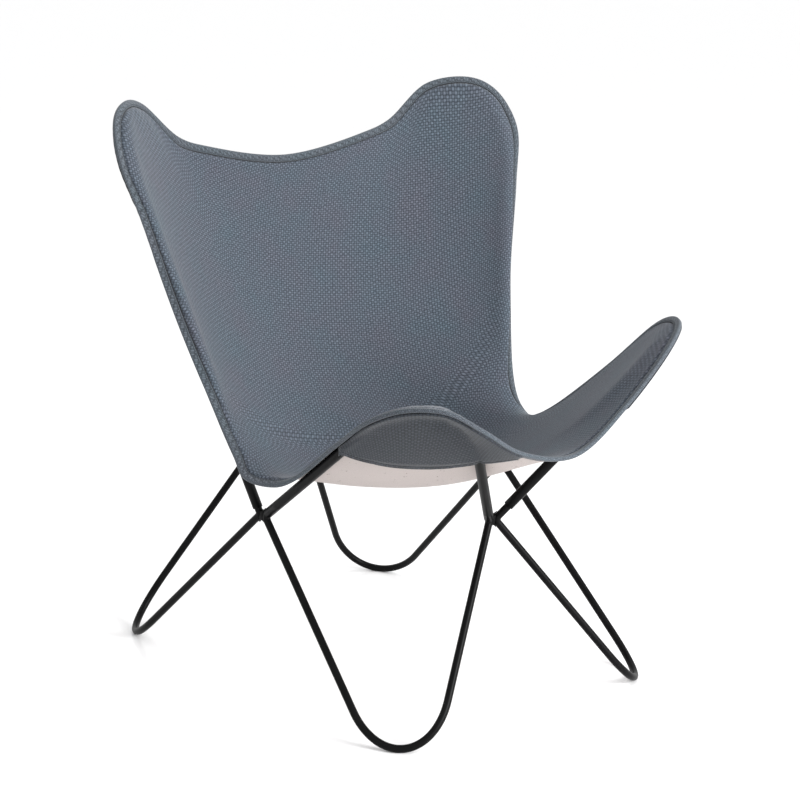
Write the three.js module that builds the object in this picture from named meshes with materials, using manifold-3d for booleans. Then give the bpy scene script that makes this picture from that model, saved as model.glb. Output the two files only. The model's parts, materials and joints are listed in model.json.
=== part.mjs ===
// A butterfly sling chair: four floor loops of bent rod, welded side by side at four crossings,
// four tube arches pushed over the rod ends, and a two-layer sling hung over the arches in pockets.
// Millimetres, +Z up, the sitter faces -Y, and the floor is at zero.
import * as THREE from "three";
import { mergeVertices } from "three/addons/utils/BufferGeometryUtils.js";
import { NURBSCurve } from "three/addons/curves/NURBSCurve.js";
import Module from "manifold-3d";

const wasm = await Module();
wasm.setup();

// Rod, tube and how they fit
const rodDiameter = 12;
const tubeWall = 1.5;
const slideGap = 0.3;
const tubeSides = 12;
const rodBendRadius = 9;
const bendSteps = 6;
const cornerSpread = 12;
const spigotLength = 62;
const footFlat = 0.4;
const cutOverrun = 40;

// The four crossings where neighbouring loops are welded
const sideReach = 250.5;
const sideHeight = 286.5;
const frontReach = 256;
const frontHeight = 294;
const rearReach = 256.5;
const rearHeight = 386.5;

// Weld between the two bends of a crossing
const weldThroat = 15;
const weldWaistRadius = 8;
const weldLength = 28;
const weldHeight = 36;
const weldThickness = 10.4;
const weldSteps = 12;

// Floor loops: where the straight legs would meet, and how far the bend starts from there
const frontFootSpread = 289.5;
const frontFootReach = 421;
const frontFootTangent = 224.5;
const frontFootFullnessShare = 0.45;
const rearFootSpread = 310.5;
const rearFootReach = 449;
const rearFootTangent = 258.5;
const rearFootFullnessShare = 0.42;
const footSteps = 16;
const footSettleRounds = 30;

// Arches: where the straight legs would meet, and how far the bow starts from there
const frontBowSpread = 283;
const frontBowReach = 494.5;
const frontBowHeight = 672;
const frontBowTangent = 335;
const frontBowFullnessShare = 0.78;
const frontBowLift = 30;
const rearBowSpread = 493.5;
const rearBowReach = 266;
const rearBowHeight = 1247;
const rearBowTangent = 522;
const rearBowFullnessShare = 0.325;
const bowSteps = 18;

// Bare rod between a crossing's bend and the end of the tube above it
const rearBareRod = 6;
const frontLeftBareRod = 1;
const frontRightBareRod = 22;

// Sling cloth
const panelThickness = 2;
const liningThickness = 1.2;
const pocketThickness = 1.6;
const layerGap = 0.6;
const clothRest = 0.35;
const bagDepth = 298;
const bagLeanShare = 0.35;
const hemLift = 34;
const bandWidth = 14;
const bandThickness = 7;
const bandDrop = 0.5;
const bandSeam = 1;
const pocketSeam = 2.9;
const mouthSeam = 1.1;
const mouthBandWidth = 9;
const mouthBandThickness = 3;
const pocketSlopeShare = 0.4;

// Hem stations, and how the relaxed cloth is sampled
const hemStepsPerPoint = 2;
const fineRings = 30;
const fineFactor = 3;
const ringCrowdingShare = 1.25;
const relaxRounds = 1000;
const seatRounds = 24;
const seatTolerance = 0.035;
const sideShare = 0.3;
const overRelaxShare = 1.9;
const besideRounds = 25;
const ridgePlateau = 5;
const slipReach = 70;
const ringsPastBand = [0, 12, 26, 44, 72];
const innerRingShares = [0.17, 0.34, 0.51, 0.68, 0.85];

// Pockets: the hem stations where each one starts and ends, counted from the middle of the back
const rearPocketHemStations = [4, 14];
const frontPocketHemStations = [24, 34];
const pocketSeamDepth = 2.5;
const pocketEndDepth = 8;
const pocketRows = 6;
const mouthSearchStep = 3.5;
const pocketRelaxRounds = 700;
const rearMouthBow = 16;
const frontMouthBow = 38;

// The hem's left half from the middle of the back to the side, as shares of the rear arch:
// of its length up to the bow's corner, of its half width, and of its half width off its plane.
const rearHemShares = [
  [0.376, -1.504, 0.75],
  [0.471, -0.883, 0.281],
  [0.512, -0.684, 0.133],
  [0.599, -0.407, 0.03],
  [0.637, -0.003, 0.016],
  [0.629, 0.257, -0.028],
  [0.578, 0.537, -0.047],
  [0.479, 0.642, -0.047],
  [0.306, 0.78, -0.069],
  [0.115, 1.056, 0.014],
  [0.087, 1.223, 0.078],
];

// The hem from the side to the middle of the front edge, as shares of the front arch,
// with the share of the hem's lift on that side.
const frontHemShares = [
  [0.202, 1.012, 0.044, 0.4],
  [0.485, 0.65, 0.022, 0.65],
  [0.662, 0.489, -0.015, 1],
  [0.726, 0.234, -0.045, 1],
  [0.735, -0.105, -0.096, 1],
  [0.667, -0.447, -0.129, 1],
  [0.507, -0.893, -0.104, 0.6],
  [0.354, -1.455, 0.056, 0],
];

// Sections of the bindings, as shares of half the width and half the thickness
const bandSectionShares = [
  [1, -0.6],
  [1, 0.6],
  [0.7, 1],
  [-0.7, 1],
  [-1, 0.6],
  [-1, -0.6],
  [-0.7, -1],
  [0.7, -1],
];

const rodRadius = rodDiameter / 2;
const cornerOut = 1 / Math.cos(Math.PI / tubeSides);
const boreRadius = (rodRadius + slideGap) * cornerOut;
const tubeRadius = boreRadius + tubeWall;

const steel = { color: 0x17181a, roughness: 0.38, metalness: 0.55 };
const cloth = { color: 0x56636f, roughness: 0.92, metalness: 0 };
const canvas = { color: 0xd8d2cc, roughness: 0.95, metalness: 0 };
const tape = { color: 0x606c76, roughness: 0.9, metalness: 0 };

const up = new THREE.Vector3(0, 0, 1);
const sum = (...parts) => parts.reduce((total, part) => total.add(part), new THREE.Vector3());
const along = (start, direction, distance) => start.clone().addScaledVector(direction, distance);
const toward = (from, to) => to.clone().sub(from).normalize();
const cross = (a, b) => a.clone().cross(b);

// A path given by its stations, so that a sweep has few steps on a straight and many in a bend.
class StationPath extends THREE.Curve {
  constructor(stations) {
    super();
    this.stations = stations;
  }

  stationAt(share) {
    return Math.round(share * (this.stations.length - 1));
  }

  getPoint(share, target = new THREE.Vector3()) {
    return target.copy(this.stations[this.stationAt(share)]);
  }

  getPointAt(share, target) {
    return this.getPoint(share, target);
  }

  getTangentAt(share, target = new THREE.Vector3()) {
    const index = this.stationAt(share);
    const here = this.stations[index];
    const before = this.stations[Math.max(index - 1, 0)];
    const after = this.stations[Math.min(index + 1, this.stations.length - 1)];
    target.set(0, 0, 0);
    if (before !== here) target.add(toward(before, here));
    if (after !== here) target.add(toward(here, after));
    return target.normalize();
  }

  getSpacedPoints() {
    return this.stations.map((station) => station.clone());
  }
}

// A conic arc that leaves one leg and joins the other, tangent to both.
function conicArc(start, corner, end, fullness, steps) {
  const tangentStart = along(corner, toward(corner, start[0]), start[1]);
  const tangentEnd = along(corner, toward(corner, end[0]), end[1]);
  const knots = [0, 0, 0, 1, 1, 1];
  const arc = new NURBSCurve(2, knots, [
    new THREE.Vector4(tangentStart.x, tangentStart.y, tangentStart.z, 1),
    new THREE.Vector4(corner.x, corner.y, corner.z, fullness),
    new THREE.Vector4(tangentEnd.x, tangentEnd.y, tangentEnd.z, 1),
  ]);
  return arc.getPoints(steps);
}

// How a round bend of the rod's radius sits in a corner: the half angle and the tangent length.
function bendOf(corner, from, to) {
  const halfAngle = toward(corner, from).angleTo(toward(corner, to)) / 2;
  return { halfAngle, tangent: rodBendRadius / Math.tan(halfAngle) };
}

function roundBend(corner, from, to) {
  const { halfAngle, tangent } = bendOf(corner, from, to);
  return conicArc([from, tangent], corner, [to, tangent], Math.sin(halfAngle), bendSteps);
}

function circle(radius, bore) {
  const shape = new THREE.Shape();
  shape.absarc(0, 0, radius, 0, 2 * Math.PI, false);
  if (bore) {
    const hole = new THREE.Path();
    hole.absarc(0, 0, bore, 0, 2 * Math.PI, true);
    shape.holes.push(hole);
  }
  return shape;
}

function sweep(shape, stations) {
  return new THREE.ExtrudeGeometry(shape, {
    steps: stations.length - 1,
    curveSegments: tubeSides / 2,
    extrudePath: new StationPath(stations),
  });
}

// Solids for the few boolean cuts
function solidOf(geometry) {
  const bare = geometry.clone();
  bare.deleteAttribute("normal");
  bare.deleteAttribute("uv");
  const merged = mergeVertices(bare);
  const mesh = new wasm.Mesh({
    numProp: 3,
    vertProperties: merged.attributes.position.array,
    triVerts: new Uint32Array(merged.index.array),
  });
  return new wasm.Manifold(mesh);
}

function geometryOf(solid) {
  const mesh = solid.getMesh();
  const geometry = new THREE.BufferGeometry();
  geometry.setAttribute("position", new THREE.BufferAttribute(new Float32Array(mesh.vertProperties), 3));
  geometry.setIndex(new THREE.BufferAttribute(new Uint32Array(mesh.triVerts), 1));
  geometry.computeVertexNormals();
  return geometry;
}

// One loop of the chair: its two corners, the corner of its bow and the corner of its foot.
// The left side is drawn and the right side mirrored, apart from the front bows' lift.
function loopPlan(place, side) {
  const half = cornerSpread / 2;
  const isFront = place === "front";
  const outer = new THREE.Vector3(-sideReach, isFront ? -half : half, sideHeight);
  const inner = isFront
    ? new THREE.Vector3(-half, -frontReach, frontHeight)
    : new THREE.Vector3(-half, rearReach, rearHeight);
  const lift = side === "left" ? -frontBowLift : frontBowLift;
  const bow = isFront
    ? new THREE.Vector3(-frontBowSpread, -frontBowReach, frontBowHeight + lift)
    : new THREE.Vector3(-rearBowSpread, rearBowReach, rearBowHeight);
  const foot = isFront
    ? new THREE.Vector3(-frontFootSpread, -frontFootReach, 0)
    : new THREE.Vector3(-rearFootSpread, rearFootReach, 0);
  const plan = { outer, inner, bow, foot, isFront, side };
  if (side === "right") {
    for (const point of [outer, inner, bow, foot]) point.x = -point.x;
  }
  plan.footTangent = isFront ? frontFootTangent : rearFootTangent;
  plan.footFullness = isFront ? frontFootFullnessShare : rearFootFullnessShare;
  plan.bowTangent = isFront ? frontBowTangent : rearBowTangent;
  plan.bowFullness = isFront ? frontBowFullnessShare : rearBowFullnessShare;
  plan.bareRod = rearBareRod;
  if (isFront) plan.bareRod = side === "left" ? frontLeftBareRod : frontRightBareRod;
  settleFoot(plan);
  return plan;
}

function footArc(plan) {
  const ends = [plan.outer, plan.inner].map((corner) => [corner, plan.footTangent]);
  return conicArc(ends[0], plan.foot, ends[1], plan.footFullness, footSteps);
}

// Lowers the foot's corner until the bend just rests on the floor with its small flat.
function settleFoot(plan) {
  const rest = rodRadius - footFlat;
  for (let round = 0; round < footSettleRounds; round += 1) {
    const lowest = Math.min(...footArc(plan).map((point) => point.z));
    plan.foot.z -= lowest - rest;
  }
}

function rodStations(plan) {
  const { outer, inner, bow, foot } = plan;
  return [
    along(outer, toward(outer, bow), spigotLength),
    ...roundBend(outer, bow, foot),
    ...footArc(plan),
    ...roundBend(inner, foot, bow),
    along(inner, toward(inner, bow), spigotLength),
  ];
}

function archStations(plan) {
  const { outer, inner, bow, foot } = plan;
  const ends = [outer, inner].map((corner) => {
    const start = bendOf(corner, bow, foot).tangent + plan.bareRod;
    return along(corner, toward(corner, bow), start);
  });
  const [from, to] = [outer, inner].map((corner) => [corner, plan.bowTangent]);
  const bowArc = conicArc(from, bow, to, plan.bowFullness, bowSteps);
  return [ends[0], ...bowArc, ends[1]];
}

const plans = {};
for (const place of ["front", "rear"]) {
  for (const side of ["left", "right"]) plans[`${place}_${side}`] = loopPlan(place, side);
}

// Floor loops
function floorCut() {
  const spread = 2 * (rearFootSpread + rearFootReach + frontFootReach);
  const box = new THREE.BoxGeometry(spread, spread, cutOverrun);
  box.translate(0, 0, -cutOverrun / 2);
  return solidOf(box);
}

const belowFloor = floorCut();

function floorLoop(plan) {
  const rod = solidOf(sweep(circle(rodRadius), rodStations(plan)));
  return geometryOf(rod.subtract(belowFloor));
}

// Arch tubes, open from end to end, that slide over the rod ends
function archTube(plan) {
  return sweep(circle(tubeRadius, boreRadius), archStations(plan));
}

// Weld: a waisted plug between the two bends of a crossing, cut clear of both rods and tubes.
function weld(first, second, corner) {
  const a = first[corner];
  const b = second[corner];
  const middle = sum(a, b).divideScalar(2);
  const span = toward(a, b);
  const rise = new THREE.Vector3();
  for (const plan of [first, second]) {
    rise.add(toward(plan[corner], plan.bow)).sub(toward(plan[corner], plan.foot));
  }
  rise.addScaledVector(span, -rise.dot(span)).normalize();
  const depth = cross(span, rise);
  const place = new THREE.Matrix4().makeBasis(span, rise, depth).setPosition(middle);
  const ball = new THREE.SphereGeometry(1, weldSteps, weldSteps / 2);
  ball.scale(weldLength / 2, weldHeight / 2, weldThickness / 2);
  ball.applyMatrix4(place);
  let solid = solidOf(ball);
  for (const direction of [-1, 1]) {
    const waist = new THREE.CylinderGeometry(weldWaistRadius, weldWaistRadius, weldHeight, weldSteps);
    waist.rotateX(Math.PI / 2);
    waist.translate(0, direction * (weldThroat / 2 + weldWaistRadius), 0);
    solid = solid.subtract(solidOf(waist.applyMatrix4(place)));
  }
  for (const plan of [first, second]) {
    solid = solid.subtract(solidOf(sweep(circle(rodRadius + slideGap), rodStations(plan))));
    solid = solid.subtract(solidOf(sweep(circle(tubeRadius + slideGap), archStations(plan))));
  }
  const pieces = solid.decompose().sort((one, other) => other.volume() - one.volume());
  return geometryOf(pieces[0]);
}

// The frame of an arch: middle of its corners, its length vector, half width vector and normal
function archFrame(plan) {
  const origin = sum(plan.outer, plan.inner).divideScalar(2);
  const length = plan.bow.clone().sub(origin);
  const half = plan.outer.clone().sub(plan.inner).divideScalar(2);
  const normal = cross(half, length).normalize();
  if (plan.isFront) normal.multiplyScalar(Math.sign(normal.z));
  else normal.multiplyScalar(-Math.sign(normal.y));
  return { origin, length, half, normal };
}

// The hem: the left half from the shares, then the right half mirrored, with the front lift
function hemPoints() {
  const level = loopPlan("front", "left");
  level.bow.z += frontBowLift;
  const rear = archFrame(plans.rear_left);
  const front = archFrame(level);
  const points = [];
  const lifts = [];
  for (const [frame, shares] of [[rear, rearHemShares], [front, frontHemShares]]) {
    for (const [lengthShare, halfShare, offShare, liftShare] of shares) {
      const point = along(frame.origin, frame.length, lengthShare);
      point.addScaledVector(frame.half, halfShare);
      point.addScaledVector(frame.normal, offShare * frame.half.length());
      points.push(point);
      lifts.push((liftShare ?? 0) * hemLift);
    }
  }
  points[0].x = 0;
  points[points.length - 1].x = 0;
  const left = points.map((point, index) => along(point, up, -lifts[index]));
  const right = points.map((point, index) => along(point, up, lifts[index]));
  for (const point of right) point.x = -point.x;
  return [...left, ...right.slice(1, -1).reverse()];
}

const hem = new THREE.CatmullRomCurve3(hemPoints(), true, "centripetal");
const hemCount = hem.points.length * hemStepsPerPoint;

// Arch centrelines, closest points on them, and which side the cloth lies on
const liningUnder = layerGap / 2 + liningThickness;
const ridges = Object.values(plans).map((plan) => {
  const stations = archStations(plan);
  const legs = stations.slice(1).map((end, index) => new THREE.Line3(stations[index], end));
  return { plan, normal: archFrame(plan).normal, legs };
});

// What nearestOnRidge finds: the closest point of a centreline and the direction of its leg there
const nearest = new THREE.Vector3();
const legLine = new THREE.Vector3();
const offset = new THREE.Vector3();

function nearestOnRidge(ridge, point) {
  let best = Infinity;
  for (const leg of ridge.legs) {
    leg.closestPointToPoint(point, true, offset);
    const distance = offset.distanceToSquared(point);
    if (distance < best) {
      best = distance;
      nearest.copy(offset);
      legLine.subVectors(leg.end, leg.start).normalize();
    }
  }
  return Math.sqrt(best);
}

// Height above the arch's plane that a round of the given radius asks for beside its centreline
function reliefAt(point, ridge, radius) {
  offset.subVectors(point, nearest);
  const height = offset.dot(ridge.normal);
  offset.addScaledVector(ridge.normal, -height);
  offset.addScaledVector(legLine, -offset.dot(legLine));
  const sideways = Math.max(0, offset.length() - ridgePlateau);
  const relief = sideways < radius ? Math.sqrt(radius ** 2 - sideways ** 2) : -Infinity;
  return { height, relief };
}

// Lifts a point of the cloth off the tubes of the given arches, to the seat's side
function pushOff(point, arches, contact) {
  for (const ridge of arches) {
    nearestOnRidge(ridge, point);
    const { height, relief } = reliefAt(point, ridge, contact);
    if (relief > height) point.addScaledVector(ridge.normal, relief - height);
  }
}

function archesBeside(point) {
  return ridges.filter((ridge) => nearestOnRidge(ridge, point) < slipReach);
}

// The hanging cloth: a net of rings and spokes, drawn tight between the hem and the tubes,
// with a load that bags it down and back.
function hangCloth(contact) {
  const spokes = hemCount * fineFactor;
  const rings = fineRings;
  const rim = Array.from({ length: spokes }, (_, i) => hem.getPoint(i / spokes));
  const radius = Array.from({ length: rings + 1 }, (_, j) => 1 - (1 - j / rings) ** ringCrowdingShare);
  const arcs = rim.map((point, i) => point.distanceTo(rim[(i + 1) % spokes]));
  const perimeter = arcs.reduce((total, arc) => total + arc, 0);
  const angles = arcs.map((arc) => (2 * Math.PI * arc) / perimeter);
  const middle = sum(...rim).divideScalar(spokes);
  const net = radius.map((r) => rim.map((point) => middle.clone().lerp(point, r)));
  // A flat round net of unit radius sags by a quarter of its load.
  const load = new THREE.Vector3(0, bagLeanShare, -1).setLength(4 * bagDepth);
  const next = new THREE.Vector3();
  let beside = [];
  const relaxAt = (j, i) => {
    const before = (i + spokes - 1) % spokes;
    const after = (i + 1) % spokes;
    const width = (angles[i] + angles[before]) / 2;
    const depth = (radius[j + 1] - radius[j - 1]) / 2;
    const pulls = [
      [net[j + 1][i], (((radius[j + 1] + radius[j]) / 2) * width) / (radius[j + 1] - radius[j])],
      [net[j - 1][i], (((radius[j] + radius[j - 1]) / 2) * width) / (radius[j] - radius[j - 1])],
      [net[j][after], depth / (radius[j] * angles[i])],
      [net[j][before], depth / (radius[j] * angles[before])],
    ];
    next.copy(load).multiplyScalar(radius[j] * depth * width);
    let pull = 0;
    for (const [point, strength] of pulls) {
      next.addScaledVector(point, strength);
      pull += strength;
    }
    next.divideScalar(pull);
    net[j][i].lerp(next, overRelaxShare);
    pushOff(net[j][i], beside[j][i], contact);
  };
  const centreLoad = load.clone().multiplyScalar((radius[1] / 2) ** 2);
  for (let round = 0; round < relaxRounds; round += 1) {
    if (round % besideRounds === 0) beside = net.map((ring) => ring.map(archesBeside));
    for (let j = rings - 1; j > 0; j -= 1) {
      for (let i = 0; i < spokes; i += 1) relaxAt(j, i);
    }
    const centre = sum(...net[1]).divideScalar(spokes).add(centreLoad);
    for (const point of net[0]) point.copy(centre);
  }
  return net;
}

function lengthOf(line) {
  return line.slice(1).reduce((total, point, k) => total + point.distanceTo(line[k]), 0);
}

// The point of a spoke at a distance from the hem, along the cloth
function onSpoke(spoke, distance) {
  let left = distance;
  for (let k = 1; k < spoke.length; k += 1) {
    const piece = spoke[k].distanceTo(spoke[k - 1]);
    if (left <= piece) return spoke[k - 1].clone().lerp(spoke[k], left / piece);
    left -= piece;
  }
  return spoke[spoke.length - 1].clone();
}

// A sheet's rows run from the hem to the middle, its columns along the hem.
function clothSheet(net) {
  const spokes = Array.from({ length: hemCount }, (_, i) =>
    net.map((ring) => ring[i * fineFactor]).reverse(),
  );
  const slants = spokes.map((spoke, i) => {
    const hemLine = toward(spokes[(i + hemCount - 1) % hemCount][0], spokes[(i + 1) % hemCount][0]);
    return cross(hemLine, toward(spoke[0], onSpoke(spoke, bandWidth))).length();
  });
  const edges = slants.map((slant) => (bandWidth + bandSeam) / slant);
  const rows = ringsPastBand.map((distance) =>
    spokes.map((spoke, i) => onSpoke(spoke, edges[i] + distance)),
  );
  const last = edges.map((edge) => edge + ringsPastBand[ringsPastBand.length - 1]);
  for (const share of innerRingShares) {
    rows.push(spokes.map((spoke, i) => onSpoke(spoke, last[i] + share * (lengthOf(spoke) - last[i]))));
  }
  const sheet = { rows, pole: spokes[0][spokes[0].length - 1].clone(), spokes };
  const netSize = rows.length * hemCount;
  const make = () => {
    sheet.normals = rowNormals(rows, true);
    sheet.bandStations = spokes.map((spoke, i) => bandStation(spoke, slants[i], sheet.normals[0][i]));
    sheet.normals[0] = sheet.bandStations.map((station) => station.normal);
    sheet.poleNormal = sum(...sheet.normals[rows.length - 1]).normalize();
    const lining = layer(sheet, -liningUnder, -layerGap / 2);
    return [{ geometry: lining, targetsOf: (vertex) => [vertex % netSize] }];
  };
  sheet.lining = clearTubes(rows, 1, make)[0].geometry;
  return sheet;
}

// Normals of a net of rows, on the side that the rows turn to
function rowNormals(rows, closed) {
  const count = rows[0].length;
  return rows.map((row, j) =>
    row.map((point, i) => {
      const before = closed ? row[(i + count - 1) % count] : row[Math.max(i - 1, 0)];
      const after = closed ? row[(i + 1) % count] : row[Math.min(i + 1, count - 1)];
      const inner = rows[Math.min(j + 1, rows.length - 1)][i];
      const outer = rows[Math.max(j - 1, 0)][i];
      return cross(after.clone().sub(before), inner.clone().sub(outer)).normalize();
    }),
  );
}

// A closed mesh from points and triangles, turned to face out
function closedMesh(points, triangles) {
  let volume = 0;
  for (const [a, b, c] of triangles) volume += points[a].dot(cross(points[b], points[c]));
  const faces = volume < 0 ? triangles.map(([a, b, c]) => [a, c, b]) : triangles;
  const geometry = new THREE.BufferGeometry().setFromPoints(points);
  geometry.setIndex(faces.flat());
  geometry.computeVertexNormals();
  return geometry;
}

// A skin between two nets with the same rows: closed round the hem with poles, or a patch
function skin(upper, lower, poles) {
  const rows = upper.length;
  const columns = upper[0].length;
  const points = [...upper.flat(), ...lower.flat()];
  const at = (face, j, i) => (face * rows + j) * columns + (i % columns);
  const triangles = [];
  const quad = (a, b, c, d) => triangles.push([a, b, c], [a, c, d]);
  const lastColumn = poles ? columns : columns - 1;
  for (let i = 0; i < lastColumn; i += 1) {
    for (let j = 0; j < rows - 1; j += 1) {
      quad(at(0, j, i), at(0, j, i + 1), at(0, j + 1, i + 1), at(0, j + 1, i));
      quad(at(1, j, i), at(1, j + 1, i), at(1, j + 1, i + 1), at(1, j, i + 1));
    }
    quad(at(0, 0, i), at(1, 0, i), at(1, 0, i + 1), at(0, 0, i + 1));
    if (!poles) {
      const end = rows - 1;
      quad(at(0, end, i), at(0, end, i + 1), at(1, end, i + 1), at(1, end, i));
    }
  }
  if (poles) {
    points.push(...poles);
    const upperPole = points.length - 2;
    for (let i = 0; i < columns; i += 1) {
      triangles.push([at(0, rows - 1, i), at(0, rows - 1, i + 1), upperPole]);
      triangles.push([at(1, rows - 1, i + 1), at(1, rows - 1, i), upperPole + 1]);
    }
  } else {
    for (let j = 0; j < rows - 1; j += 1) {
      const end = columns - 1;
      quad(at(0, j, 0), at(0, j + 1, 0), at(1, j + 1, 0), at(1, j, 0));
      quad(at(0, j, end), at(1, j, end), at(1, j + 1, end), at(0, j + 1, end));
    }
  }
  return closedMesh(points, triangles);
}

function layer(sheet, from, to) {
  const lift = (distance) =>
    sheet.rows.map((row, j) => row.map((point, i) => along(point, sheet.normals[j][i], distance)));
  const poles = [to, from].map((distance) => along(sheet.pole, sheet.poleNormal, distance));
  return skin(lift(to), lift(from), poles);
}

// A band of the shared section along stations that each have a width and a thickness direction
function bandAlong(stations, width, thickness, closed) {
  const sides = bandSectionShares.length;
  const points = stations.flatMap(({ centre, across, normal }) =>
    bandSectionShares.map(([acrossShare, normalShare]) =>
      sum(
        centre,
        across.clone().multiplyScalar((acrossShare * width) / 2),
        normal.clone().multiplyScalar((normalShare * thickness) / 2),
      ),
    ),
  );
  const triangles = [];
  const count = stations.length;
  const at = (station, side) => (station % count) * sides + (side % sides);
  for (let k = 0; k < (closed ? count : count - 1); k += 1) {
    for (let s = 0; s < sides; s += 1) {
      triangles.push([at(k, s), at(k, s + 1), at(k + 1, s + 1)]);
      triangles.push([at(k, s), at(k + 1, s + 1), at(k + 1, s)]);
    }
  }
  if (!closed) {
    for (let s = 1; s < sides - 1; s += 1) {
      triangles.push([at(0, 0), at(0, s + 1), at(0, s)]);
      triangles.push([at(count - 1, 0), at(count - 1, s), at(count - 1, s + 1)]);
    }
  }
  return closedMesh(points, triangles);
}

// The hem band's frame on a spoke, which may meet the hem at a slant: out to the hem
function bandStation(spoke, slant, clothNormal) {
  const inner = onSpoke(spoke, bandWidth / slant);
  const across = toward(inner, spoke[0]);
  const normal = clothNormal.clone();
  normal.addScaledVector(across, -normal.dot(across)).normalize();
  const centre = along(along(inner, across, bandWidth / slant / 2), normal, -bandDrop);
  return { centre, across: across.divideScalar(slant), normal };
}

// A pocket: a patch behind the arch's bow, from under the hem band back to its mouth. It hangs
// off the cloth along the arch's normal, as far as the band and the tube ask for.
function pocketPatch(sheet, plan, hemRange, mouthBow, contact) {
  const ridge = ridges.find((one) => one.plan === plan);
  const count = hemRange[1] - hemRange[0] + 1;
  const columns = Array.from({ length: count }, (_, k) => (hemRange[0] + k) % hemCount);
  const endDepth = pocketSeamDepth + pocketEndDepth;
  const ends = [columns[0], columns[count - 1]].map((i) => onSpoke(sheet.spokes[i], endDepth));
  const mouthLine = toward(ends[0], ends[1]);
  const back = archFrame(plan).length.negate();
  back.addScaledVector(mouthLine, -back.dot(mouthLine)).normalize();
  const mouthWidth = ends[0].distanceTo(ends[1]);
  const depths = columns.map((i, k) => {
    let depth = endDepth;
    if (k === 0 || k === count - 1) return depth;
    for (let steps = 0; steps < mouthWidth / mouthSearchStep; steps += 1) {
      const from = onSpoke(sheet.spokes[i], depth).sub(ends[0]);
      const share = THREE.MathUtils.clamp(from.dot(mouthLine) / mouthWidth, 0, 1);
      if (from.dot(back) >= mouthBow * Math.sin(Math.PI * share)) break;
      depth += mouthSearchStep;
    }
    return depth;
  });
  const shares = Array.from({ length: pocketRows + 1 }, (_, t) => t / pocketRows);
  const rows = shares.map((share) =>
    columns.map((i, k) => onSpoke(sheet.spokes[i], pocketSeamDepth + share * (depths[k] - pocketSeamDepth))),
  );
  const normals = rowNormals(rows, false);
  const under = bandThickness / 2 + bandDrop + pocketSeam + mouthBandThickness / 2;
  const need = rows.map((row, t) => row.map((point, k) => {
    nearestOnRidge(ridge, point);
    const { height, relief } = reliefAt(point, ridge, contact);
    const facing = Math.max(normals[t][k].dot(ridge.normal), pocketSlopeShare);
    return Math.max(under / facing, height + relief);
  }));
  const stand = need.map((row) => [...row]);
  for (let round = 0; round < pocketRelaxRounds; round += 1) {
    for (let t = 1; t <= pocketRows; t += 1) {
      for (let k = 1; k < count - 1; k += 1) {
        const inner = stand[Math.min(t + 1, pocketRows)][k];
        const mean = (stand[t - 1][k] + inner + stand[t][k - 1] + stand[t][k + 1]) / 4;
        stand[t][k] = Math.max(mean, need[t][k]);
      }
    }
  }
  const hung = rows.map((row, t) => row.map((point, k) => along(point, ridge.normal, -stand[t][k])));
  const make = () => {
    const strips = columns.map((_, k) => hung.map((row) => row[k]));
    return [
      { geometry: pocketSkin(strips), targetsOf: (vertex) => {
        const place = vertex % (pocketRows * count);
        return [place, place + count];
      } },
      { geometry: mouthBand(strips), targetsOf: (vertex) => {
        const station = Math.floor(vertex / bandSectionShares.length);
        return [station + (pocketRows - 1) * count, station + pocketRows * count];
      } },
    ];
  };
  return clearTubes(hung, -1, make).map((piece) => piece.geometry);
}

// The pocket's rows stop short of the mouth by half the mouth band and its gap.
function pocketRowsOf(columns) {
  const cut = mouthBandWidth / 2 + mouthSeam;
  const shares = Array.from({ length: pocketRows }, (_, t) => t / (pocketRows - 1));
  const rows = shares.map((share) =>
    columns.map((column) => onSpoke(column, share * (lengthOf(column) - cut))),
  );
  return { rows, normals: rowNormals(rows, false) };
}

function pocketSkin(columns) {
  const { rows, normals } = pocketRowsOf(columns);
  const lift = (distance) =>
    rows.map((row, t) => row.map((point, k) => along(point, normals[t][k], distance)));
  return skin(lift(pocketThickness / 2), lift(-pocketThickness / 2), null);
}

function mouthBand(columns) {
  const { rows, normals } = pocketRowsOf(columns);
  const last = rows.length - 1;
  const stations = columns.map((column, k) => {
    const edge = rows[last][k];
    const across = toward(edge, column[column.length - 1]);
    const normal = normals[last][k].clone();
    normal.addScaledVector(across, -normal.dot(across)).normalize();
    return { centre: along(edge, across, mouthBandWidth / 2 + mouthSeam), across, normal };
  });
  return bandAlong(stations, mouthBandWidth, mouthBandThickness, false);
}

// Points along the arches' centrelines, each with its arch's normal
const probes = ridges.flatMap(({ normal, legs }) => legs.flatMap((leg) => {
  const pieces = Math.max(1, Math.ceil(leg.distance() / (tubeRadius / 2)));
  return Array.from({ length: pieces }, (_, k) => ({
    point: leg.at(k / pieces, new THREE.Vector3()),
    normal,
  }));
}));

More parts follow.
